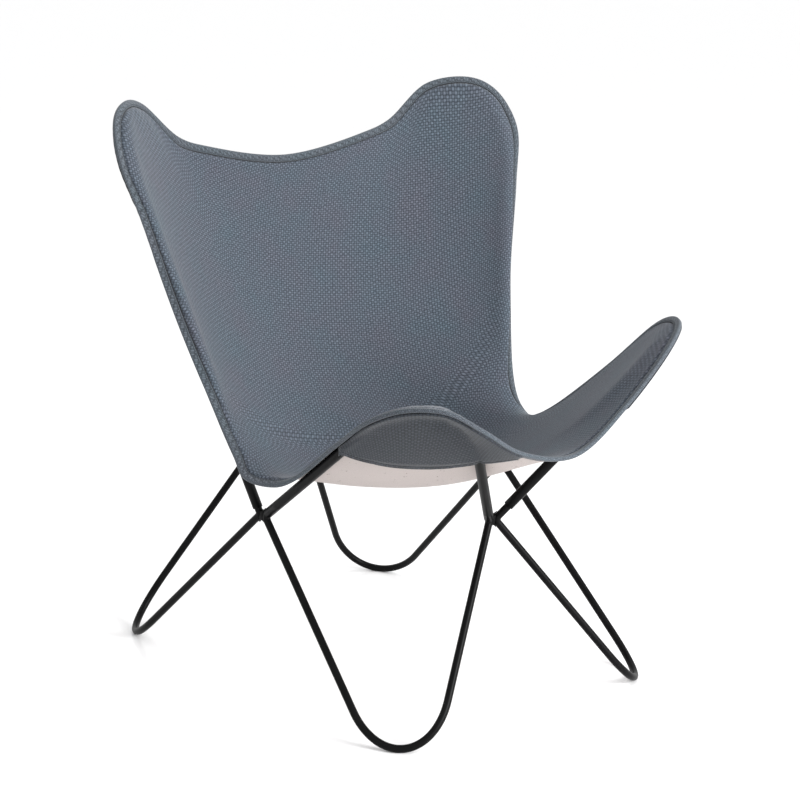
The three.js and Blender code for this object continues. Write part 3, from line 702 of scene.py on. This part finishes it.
def woven_cloth(name, pitch, turn, dark, light, patches):
    material, nodes, links, shader = new_material(name)
    uv, threads, height = weave_height(nodes, links, pitch, turn, wide=1.3, hollow=0.52)
    # Towards the hollows between the yarns the colour darkens: painted shade.
    yarn = ramp(nodes, links, height, [(0.05, dark), (0.75, light)])
    slow = noise(nodes, links, uv, 10, 5, 0.62)
    tint = ramp(nodes, links, slow.outputs["Fac"], [(0.32, patches[0]), (0.68, patches[1])])
    fine = noise(nodes, links, threads, 0.9, 3)
    speckle = ramp(nodes, links, fine.outputs["Fac"],
                   [(0.3, (0.76, 0.76, 0.78)), (0.7, (1.24, 1.24, 1.22))])
    tinted = multiplied(nodes, links, yarn, tint)
    links.new(multiplied(nodes, links, tinted, speckle), shader.inputs["Base Color"])
    bump(nodes, links, shader, height, strength=0.5, distance=0.0006)
    set_inputs(shader, {"Roughness": 0.86, "Specular IOR Level": 0.22, "Sheen Weight": 0.18,
                        "Sheen Roughness": 0.45})
    return material


seat_cloth = woven_cloth("seat_cloth", pitch=0.0031, turn=12,
                         dark=(0.021, 0.026, 0.033), light=(0.102, 0.117, 0.144),
                         patches=((1.04, 0.97, 1.0), (0.90, 1.03, 1.04)))
band_cloth = woven_cloth("band_cloth", pitch=0.0019, turn=12,
                         dark=(0.026, 0.031, 0.037), light=(0.104, 0.120, 0.140),
                         patches=((1.03, 0.98, 0.99), (0.94, 1.02, 1.02)))
# The pocket cloth is the face cloth made much darker: painted shade for the pockets, which hang in
# shadow under the folded edge.
pocket_cloth_painted_shade = woven_cloth("pocket_cloth_painted_shade", pitch=0.0029, turn=4,
                           dark=(0.009, 0.011, 0.013), light=(0.038, 0.045, 0.057),
                           patches=((1.03, 0.98, 1.0), (0.96, 1.01, 1.0)))
print("cloth materials:", seat_cloth.name, band_cloth.name, pocket_cloth_painted_shade.name)

# %% [markdown]
# ## The seat panel
#
# The panel's edge tucks down beside the folded edge and a little under it, which makes the groove
# that frames the whole cloth. Just inside the groove the seam allowance pads it out, so it swells
# before it lies flat.

# %% Seat panel
PANEL_THICK = 2.0 * MM
PANEL_LEVEL = 1.35 * MM
TUCK_DEEP, TUCK_WIDE, TUCK_POWER = 3.8 * MM, 3.0 * MM, 1.8
SWELL_HIGH, SWELL_AT, SWELL_WIDE = 0.6 * MM, 8 * MM, 4.5 * MM
panel_level = np.full(len(cloth_rows), PANEL_LEVEL)
for j, d in enumerate(NEAR_EDGE):
    tuck = -TUCK_DEEP * math.exp(-((d / TUCK_WIDE) ** TUCK_POWER))
    swell = SWELL_HIGH * math.exp(-(((d - SWELL_AT) / SWELL_WIDE) ** 2))
    panel_level[j] += tuck + swell
panel_points = cloth_rows + cloth_normals * panel_level[:, None, None]
panel_points[-1] = panel_points[-1].mean(0)
seat_panel = sheet_grid("seat_panel", wrapped(panel_points), wrapped(cloth_flat), seat_cloth,
                        closed=True)
thicken(seat_panel, PANEL_THICK)
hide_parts("sling_panel")
print("seat panel faces:", len(seat_panel.data.polygons))

# %% [markdown]
# ## The folded edge
#
# The edge is a doubled strip 12 mm wide. Its section is a rounded bar with a shallow channel where
# the stitching pulls it in. The section is carried round the hem on frames that stand square to
# the cloth. Low on each rear flank the strip turns a little towards the arch's own plane, where
# the pocket behind it pulls it back.

# %% Frames along the edge
BAND_DROP = 0.5 * MM
FLANK_MIDDLE, FLANK_HALF, FLANK_TURN = 76, 34, 0.3  # counted in spokes from the top
FRAME_PASSES = 4


def square_to(vectors, direction):
    return unit(vectors - (vectors * direction).sum(1)[:, None] * direction)


spoke_index = np.arange(SPOKES)
from_top = np.minimum(spoke_index, SPOKES - spoke_index)
on_flank = np.clip(1 - np.abs(from_top - FLANK_MIDDLE) / FLANK_HALF, 0, 1)
on_flank = FLANK_TURN * on_flank**2 * (3 - 2 * on_flank)
rear_facing = np.where(spoke_index[:, None] <= SPOKES // 2, plans["rear_left"]["normal"],
                       plans["rear_right"]["normal"])
band_inner = on_spokes(band_edge)
band_across = unit(hem - band_inner)
turned_back = on_flank * (band_across * rear_facing).sum(1)
band_across = unit(band_across - rear_facing * turned_back[:, None])
band_normal = square_to(cloth_normals[1], band_across)
for _ in range(FRAME_PASSES):
    band_normal = unit(np.roll(band_normal, 1, 0) + 2 * band_normal + np.roll(band_normal, -1, 0))
band_moved = band_inner + band_across * band_edge[:, None] - hem
band_middle = band_inner + band_across * (band_edge / 2)[:, None] - band_normal * BAND_DROP
band_stretch = 1 / slant
arc = marks_along(looped(hem))
print("edge length:", round(float(arc[-1]), 3))

# %% Edge band
BAND_THICK = 6.8 * MM
BAND_SIDES = 28
BAND_GIRTH = 0.038
CHANNEL_DEEP, CHANNEL_WIDE = 0.9 * MM, 1.0 * MM
STITCH_LINE = -3.9 * MM
SIDE_POWER, FACE_POWER = 0.36, 0.62


def bar_section(width, thickness, sides, channels=()):
    turn = np.linspace(0, 2 * np.pi, sides, endpoint=False) + np.pi / sides
    c, s = np.cos(turn), np.sin(turn)
    a = np.sign(c) * np.abs(c) ** SIDE_POWER * width / 2
    n = np.sign(s) * np.abs(s) ** FACE_POWER * thickness / 2
    for place, deep, wide in channels:
        n -= np.sign(n) * deep * np.exp(-(((a - place) / wide) ** 2))
    return a, n


def carried(middle, across, normal, stretch, section):
    a, n = section
    grid = middle[None] + across[None] * (a[:, None, None] * stretch[None, :, None])
    return grid + normal[None] * n[:, None, None]


def edge_strip(name, middle, section, girth, material):
    ring = carried(middle, band_across, band_normal, band_stretch, section)
    flat = np.stack(np.meshgrid(arc, np.linspace(0, girth, len(ring) + 1)), -1)
    return sheet_grid(name, wrapped(looped(ring)), flat, material, closed=True)


band_section = bar_section(BAND, BAND_THICK, BAND_SIDES,
                           [(STITCH_LINE, CHANNEL_DEEP, CHANNEL_WIDE)])
edge_band = edge_strip("edge_band", band_middle, band_section, BAND_GIRTH, band_cloth)
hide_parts("hem_band")
print("edge band faces:", len(edge_band.data.polygons))

# %% [markdown]
# ## The stitching
#
# One row of heavy thread runs in the channel of the folded edge. Each stitch is a small spindle
# that lies along the channel and dips into the cloth at both ends. There are hundreds, so each has
# only a few faces. A near-black cord lies at the bottom of the groove where the panel is sewn on;
# it is partly that seam's thread and partly painted shade that keeps the groove black.

# %% Stitches round the edge
STITCH_PITCH = 4.6 * MM
STITCH_LONG = 3.4 * MM
STITCH_THICK = 0.85 * MM
STITCH_SINK = 0.45 * MM


def thread_material(name, colour):
    material, nodes, links, shader = new_material(name)
    source = nodes.new("ShaderNodeTexCoord")
    fibre = noise(nodes, links, source.outputs["Object"], 900)
    shade = ramp(nodes, links, fibre.outputs["Fac"],
                 [(0.35, tuple(c * 0.6 for c in colour)), (0.7, colour)])
    links.new(shade, shader.inputs["Base Color"])
    set_inputs(shader, {"Roughness": 0.7})
    return material


def stitches(name, line, normal, material):
    marks = marks_along(line)
    count = int(marks[-1] / STITCH_PITCH)
    size = Matrix.Diagonal((STITCH_THICK / 2, STITCH_LONG / 2, STITCH_THICK / 2, 1))
    spin = Matrix.Rotation(math.pi / 2, 4, "X")
    bm = bmesh.new()
    for k in range(count):
        at = (k + 0.5) * marks[-1] / count
        ends = [point_at(line, marks, at + d) for d in (-STITCH_LONG / 2, STITCH_LONG / 2)]
        up = unit(point_at(normal, marks, at))
        ahead = unit(ends[1] - ends[0])
        side = np.cross(up, ahead)
        turn = Matrix((Vector(side), Vector(ahead), Vector(up))).transposed().to_4x4()
        place = Matrix.Translation(Vector((ends[0] + ends[1]) / 2)) @ turn
        bmesh.ops.create_uvsphere(bm, u_segments=6, v_segments=4, radius=1,
                                  matrix=place @ size @ spin)
    return finished(name, bm, material), count


dark_thread = thread_material("dark_thread", (0.035, 0.047, 0.058))
stitch_across = band_across * (band_stretch * STITCH_LINE)[:, None]
stitch_line = band_middle + stitch_across + band_normal * (BAND_THICK / 2 - STITCH_SINK)
edge_stitching, stitch_count = stitches("edge_stitching", looped(stitch_line),
                                        looped(band_normal), dark_thread)
print("stitches:", stitch_count)

# %% Thread in the groove
THREAD_WIDE, THREAD_HIGH, THREAD_SIDES, THREAD_GIRTH = 1.7 * MM, 2.0 * MM, 8, 0.006
THREAD_IN, THREAD_DOWN = 0.3, 0.1  # millimetres
# The groove cord is near-black: partly the seam's dark thread, partly painted shade in the groove.
groove_thread_and_painted_shade = thread_material("groove_thread_and_painted_shade", (0.010, 0.012, 0.015))
groove_middle = band_inner - band_across * THREAD_IN * MM - band_normal * THREAD_DOWN * MM
thread_section = bar_section(THREAD_WIDE, THREAD_HIGH, THREAD_SIDES)
seam_thread = edge_strip("seam_thread", groove_middle, thread_section, THREAD_GIRTH, groove_thread_and_painted_shade)
print("seam thread faces:", len(seam_thread.data.polygons))

# %% [markdown]
# ## The lining
#
# Under the blue-grey cloth lies an off-white canvas. It is a plain tight weave with the small dark
# flecks of seed husk that unbleached cotton keeps. It follows the panel a fraction of a millimetre
# below it, and starts a few rows inside the groove, so that no light line shows there.

# %% Canvas lining
LINING_THICK = 1.1 * MM
LINING_LEVEL = -0.85 * MM
LINING_START = 3
LINING_DIP = 0.5 * MM


def canvas_material(name):
    material, nodes, links, shader = new_material(name)
    uv, _, height = weave_height(nodes, links, pitch=0.0011, turn=0)
    # The canvas is darker in the hollows of its weave: painted shade.
    base = ramp(nodes, links, height, [(0.0, (0.39, 0.35, 0.335)), (0.7, (0.53, 0.475, 0.455))])
    flecks = nodes.new("ShaderNodeTexVoronoi")
    set_inputs(flecks, {"Scale": 120})
    links.new(uv, flecks.inputs["Vector"])
    rare = noise(nodes, links, uv, 60)
    spot = math_node(nodes, links, "LESS_THAN", flecks.outputs["Distance"], 0.16)
    some = math_node(nodes, links, "GREATER_THAN", rare.outputs["Fac"], 0.58)
    mixed = nodes.new("ShaderNodeMix")
    mixed.data_type = "RGBA"
    links.new(math_node(nodes, links, "MULTIPLY", spot, some), mixed.inputs["Factor"])
    links.new(base, mixed.inputs[COLOUR_A])
    mixed.inputs[COLOUR_B].default_value = (0.2, 0.17, 0.15, 1)
    links.new(mixed.outputs[COLOUR_OUT], shader.inputs["Base Color"])
    bump(nodes, links, shader, height, strength=0.25, distance=0.0003)
    set_inputs(shader, {"Roughness": 0.9, "Specular IOR Level": 0.2})
    return material


canvas = canvas_material("lining_canvas")
lining_points = cloth_rows + cloth_normals * LINING_LEVEL
lining_points[LINING_START] -= cloth_normals[LINING_START] * LINING_DIP
lining_points[-1] = lining_points[-1].mean(0)
lining = sheet_grid("canvas_lining", wrapped(lining_points[LINING_START:, ::2]),
                    wrapped(cloth_flat[LINING_START:, ::2]), canvas, closed=True)
thicken(lining, LINING_THICK)
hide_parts("sling_lining")
print("lining faces:", len(lining.data.polygons))

# %% [markdown]
# ## Corner pockets
#
# Behind each bow a second piece of face cloth is sewn in under the folded edge, from one side of
# the bow round to the other. Its free edge is the mouth, through which the arch slips in. The cloth
# is stretched from the seam over the back of the tube: it starts on the panel's own surface, is
# pushed off the tube where it must be, and is averaged with its neighbours everywhere else.

# %% Pocket shapes
POCKET_ROWS = 16
POCKET_THICK = 1.5 * MM
POCKET_SEAM = 2.5 * MM
POCKET_ENDS = 10.5 * MM
POCKET_SPAN = {"front": (144, 204), "rear": (24, 84)}  # counted in spokes
TUBE_GAP, BAND_GAP = 0.5 * MM, 0.4 * MM
POCKET_CONTACT = TUBE + TUBE_GAP + POCKET_THICK / 2
UNDER_BAND = BAND_THICK / 2 + BAND_DROP + POCKET_THICK / 2 + BAND_GAP
MOUTH_BOW = {"front": 48 * MM, "rear": 16 * MM}
MOUTH_STEP, MOUTH_DEEPEST = 1 * MM, 0.4
STRETCH_ROUNDS = 900


def evened(values, reach):
    wide = 2 * reach + 1
    return np.convolve(np.pad(values, reach, mode="edge"), np.ones(wide) / wide, "valid")


def mouth_depths(columns, plan):
    first, last = (spoke_point(columns[k], POCKET_ENDS) for k in (0, -1))
    mouth = unit(last - first)
    wide = np.linalg.norm(last - first)
    back = -plan["length"]
    back = unit(back - (back @ mouth) * mouth)
    depths = np.full(len(columns), POCKET_ENDS)
    for k in range(1, len(columns) - 1):
        while depths[k] < MOUTH_DEEPEST:
            off = spoke_point(columns[k], depths[k]) - first
            share = min(max((off @ mouth) / wide, 0), 1)
            if off @ back >= MOUTH_BOW[plan["place"]] * 4 * share * (1 - share):
                break
            depths[k] += MOUTH_STEP
    return evened(depths, 2)


def stand_off(base, plan):
    height, need = relief(base.reshape(-1, 3), arch_line(plan), plan["normal"], POCKET_CONTACT)
    least = np.maximum(0, height + need).reshape(base.shape[:2])
    stand = least.copy()
    for _ in range(STRETCH_ROUNDS):
        padded = np.concatenate([stand, stand[-1:]], 0)
        mean = (padded[:-2, 1:-1] + padded[2:, 1:-1] + padded[1:-1, :-2] + padded[1:-1, 2:]) / 4
        stand[1:, 1:-1] = np.maximum(mean, least[1:, 1:-1])
    stand[0] = evened(stand[0], 3)
    return stand


def pocket_shape(name):
    plan = plans[name]
    start, stop = POCKET_SPAN[plan["place"]]
    if name.endswith("right"):
        start, stop = SPOKES - stop, SPOKES - start
    columns = np.arange(start, stop + 1) % SPOKES
    shares = np.linspace(0, 1, POCKET_ROWS + 1)[:, None]
    from_hem = POCKET_SEAM + shares * (mouth_depths(columns, plan) - POCKET_SEAM)
    base = np.array([[spoke_point(i, d) for i, d in zip(columns, row)] for row in from_hem])
    along_band = np.maximum(0, 1 - from_hem / band_edge[columns])
    base += along_band[..., None] * band_moved[columns]
    base = base - net_normals(base, closed=False) * UNDER_BAND
    return base - stand_off(base, plan)[..., None] * plan["normal"]


pockets = {name: pocket_shape(name) for name in plans}
for name, grid in pockets.items():
    top, bottom = grid[[0, -1], grid.shape[1] // 2]
    print(name, "pocket depth:", round(float(np.linalg.norm(top - bottom)), 3))

# %% [markdown]
# The mouth's edge is bound with a folded strip of the same pocket cloth, darkened as painted shade.
# The strip is pulled in by a channel where it is sewn. It is carried along the last row of the
# pocket, and its two ends are filled.

# %% Pocket pieces
MOUTH_WIDTH = 8.5 * MM
MOUTH_THICK = 3.4 * MM
MOUTH_OVERLAP = 1.5 * MM
MOUTH_SIDES, MOUTH_GIRTH = 20, 0.02
MOUTH_CHANNEL = (-2.2 * MM, 1.0 * MM, 0.8 * MM)


def trimmed(grid):
    marks = marks_along(grid.transpose(1, 0, 2))
    keep = marks[:, -1] - MOUTH_WIDTH / 2
    columns = [point_at(grid[:, k], marks[k], np.linspace(0, keep[k], POCKET_ROWS + 1))
               for k in range(grid.shape[1])]
    return np.stack(columns, 1), keep


def mouth_binding(name, skin, run):
    across = unit(skin[-1] - skin[-3])
    normals = square_to(net_normals(skin, closed=False)[-1], across)
    middle = skin[-1] + across * (MOUTH_WIDTH / 2 - MOUTH_OVERLAP)
    section = bar_section(MOUTH_WIDTH, MOUTH_THICK, MOUTH_SIDES, [MOUTH_CHANNEL])
    strip = looped(carried(middle, across, normals, np.ones(len(middle)), section))
    flat = np.stack(np.meshgrid(run, np.linspace(0, MOUTH_GIRTH, len(strip))), -1)
    binding = sheet_grid(name, strip, flat, pocket_cloth_painted_shade, closed=True)
    bm = bmesh.new()
    bm.from_mesh(binding.data)
    face_outward(bm, fill_ends=True)
    bm.to_mesh(binding.data)
    bm.free()
    return binding


for name, grid in pockets.items():
    skin, keep = trimmed(grid)
    run = marks_along(skin[POCKET_ROWS // 2])
    down = np.linspace(0, 1, POCKET_ROWS + 1)[:, None] * keep.mean()
    flat = np.stack(np.broadcast_arrays(run, down), -1)
    piece = sheet_grid(f"corner_pocket_{name}", skin, flat, pocket_cloth_painted_shade)
    thicken(piece, POCKET_THICK)
    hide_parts(f"pocket_{name}")
    binding = mouth_binding(f"mouth_binding_{name}", skin, run)
    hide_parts(f"mouth_band_{name}")

# %% [markdown]
# ## Rod and tube
#
# The frame nodes are faceted stand-ins, so smooth ones are drawn on the same lines. A ring of
# vertices is extruded from station to station. At each station the ring is carried square to the
# path, turned no more than the path turns, so it never twists.

# %% Swept rods and tubes
BEND, BEND_STEPS = 9 * MM, 12
SPIGOT = 62 * MM
BARE = {"rear_left": 6 * MM, "rear_right": 6 * MM, "front_left": 1 * MM, "front_right": 22 * MM}
FLAT = 0.4 * MM
FOOT_ROUNDS = 30
ARC_STEPS, LEG_STEPS = 56, 8
RING_SIDES = 28
FIRST_SIDE = (0.3, 0.2, 0.9)  # any direction that no line starts along


def bend_of(corner, start, end):
    cosine = unit(start - corner) @ unit(end - corner)
    half = math.acos(max(-1, min(1, cosine))) / 2
    return half, BEND / math.tan(half)


def round_bend(corner, start, end):
    half, tangent = bend_of(corner, start, end)
    return conic(start, corner, end, tangent, math.sin(half), BEND_STEPS)


def swept(line, radius, capped):
    ahead = unit(np.gradient(line, axis=0))
    side = unit(np.cross(ahead[0], FIRST_SIDE))
    turn = np.linspace(0, 2 * np.pi, RING_SIDES, endpoint=False)
    bm = bmesh.new()
    ring = bmesh.ops.create_circle(bm, segments=RING_SIDES, radius=radius)["verts"]
    for k, (point, direction) in enumerate(zip(line, ahead)):
        if k:
            edges = [e for v in ring for e in v.link_edges if e.other_vert(v) in ring]
            edges = list(dict.fromkeys(edges))
            made = set(bmesh.ops.extrude_edge_only(bm, edges=edges)["geom"])
            ring = [next(e.other_vert(v) for e in v.link_edges if e.other_vert(v) in made)
                    for v in ring]
        side = unit(side - (side @ direction) * direction)
        up = np.cross(direction, side)
        for angle, vert in zip(turn, ring):
            vert.co = point + radius * (math.cos(angle) * side + math.sin(angle) * up)
    face_outward(bm, fill_ends=capped)
    return bm


def rod_line(plan):
    outer, inner, bow = plan["outer"], plan["inner"], plan["bow"]
    foot = plan["foot"].copy()
    tangent, fullness = FLOOR_BENDS[plan["place"]]
    for _ in range(FOOT_ROUNDS):
        arc = conic(outer, foot, inner, tangent, fullness, ARC_STEPS)
        foot[2] -= arc[:, 2].min() - (ROD - FLAT)
    first = round_bend(outer, bow, foot)
    last = round_bend(inner, foot, bow)
    legs = [np.linspace(start, end, LEG_STEPS)[1:-1]
            for start, end in ((first[-1], arc[0]), (arc[-1], last[0]))]
    tips = [corner + unit(bow - corner) * SPIGOT for corner in (outer, inner)]
    line = np.vstack([tips[0], (tips[0] + first[0]) / 2, first, legs[0], arc, legs[1], last,
                      (tips[1] + last[-1]) / 2, tips[1]])
    return line, foot


def tube_line(plan, foot, bare):
    ends = []
    for corner in (plan["outer"], plan["inner"]):
        _, tangent = bend_of(corner, plan["bow"], foot)
        ends.append(corner + unit(plan["bow"] - corner) * (tangent + bare))
    arc = bow_line(plan, ARC_STEPS)
    return np.vstack([np.linspace(ends[0], arc[0], LEG_STEPS)[:-1], arc,
                      np.linspace(arc[-1], ends[1], LEG_STEPS)[1:]])


print("rod bend radius:", BEND)

# %% [markdown]
# ## Powder coat
#
# The frame is coated in satin black powder. It flows out into a fine orange-peel skin that breaks
# up the reflections, and it is a little duller and greyer where hands and floor rub it. Each rod
# is cut flat where it stands on the floor.

# %% Powder coat and frame pieces
TUBE_DRAWN = TUBE - 0.15 * MM
TUBE_WALL = 1.5 * MM


def powder_coat(name):
    material, nodes, links, shader = new_material(name)
    place = nodes.new("ShaderNodeTexCoord").outputs["Object"]
    peel = noise(nodes, links, place, 1400)
    slow = noise(nodes, links, place, 22, 4)
    shade = ramp(nodes, links, slow.outputs["Fac"],
                 [(0.35, (0.002, 0.002, 0.0022)), (0.75, (0.005, 0.005, 0.0053))])
    links.new(shade, shader.inputs["Base Color"])
    rough = nodes.new("ShaderNodeMapRange")
    set_inputs(rough, {"To Min": 0.3, "To Max": 0.46})
    links.new(slow.outputs["Fac"], rough.inputs["Value"])
    links.new(rough.outputs[0], shader.inputs["Roughness"])
    bump(nodes, links, shader, peel.outputs["Fac"], strength=0.12, distance=0.0002)
    set_inputs(shader, {"Specular IOR Level": 0.08})
    return material


black_coat = powder_coat("satin_black_powder")
for name, plan in plans.items():
    line, foot = rod_line(plan)
    bm = swept(line, ROD, capped=True)
    bmesh.ops.bisect_plane(bm, geom=bm.verts[:] + bm.edges[:] + bm.faces[:], plane_co=(0, 0, 0),
                           plane_no=(0, 0, -1), clear_outer=True)
    face_outward(bm, fill_ends=True)
    rod = finished(f"bent_rod_{name}", bm, black_coat)
    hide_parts(f"floor_loop_{name}")
    bm = swept(tube_line(plan, foot, BARE[name]), TUBE_DRAWN, capped=False)
    arch = finished(f"tube_arch_{name}", bm, black_coat)
    wall = arch.modifiers.new("wall", "SOLIDIFY")
    wall.thickness = TUBE_WALL
    wall.offset = -1
    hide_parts(f"arch_tube_{name}")
frame_pieces = [o.name for o in bpy.data.objects if o.name.startswith(("bent_rod", "tube_arch"))]
print("frame pieces:", frame_pieces)

# %% [markdown]
# ## Welds
#
# Weld metal fills the throat between two bends. The stand-in plug is copied, its loose triangles
# are merged, and it is remeshed finely and smoothed, so that its corners flow as weld metal does.

# %% Welds
WELD_VOXEL = 0.9 * MM
for side in ("left", "right", "front", "rear"):
    source = frame["nodes"][f"weld_{side}"]
    bm = bmesh.new()
    bm.from_mesh(source.data)
    bmesh.ops.remove_doubles(bm, verts=bm.verts, dist=1e-6)
    face_outward(bm)
    weld = finished(f"weld_bead_{side}", bm, black_coat)
    remesh = weld.modifiers.new("even_skin", "REMESH")
    remesh.mode = "VOXEL"
    remesh.voxel_size = WELD_VOXEL
    remesh.use_smooth_shade = True
    smooth = weld.modifiers.new("flowed", "SMOOTH")
    smooth.factor = 0.5
    smooth.iterations = 8
    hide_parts(f"weld_{side}")
print("welds done")
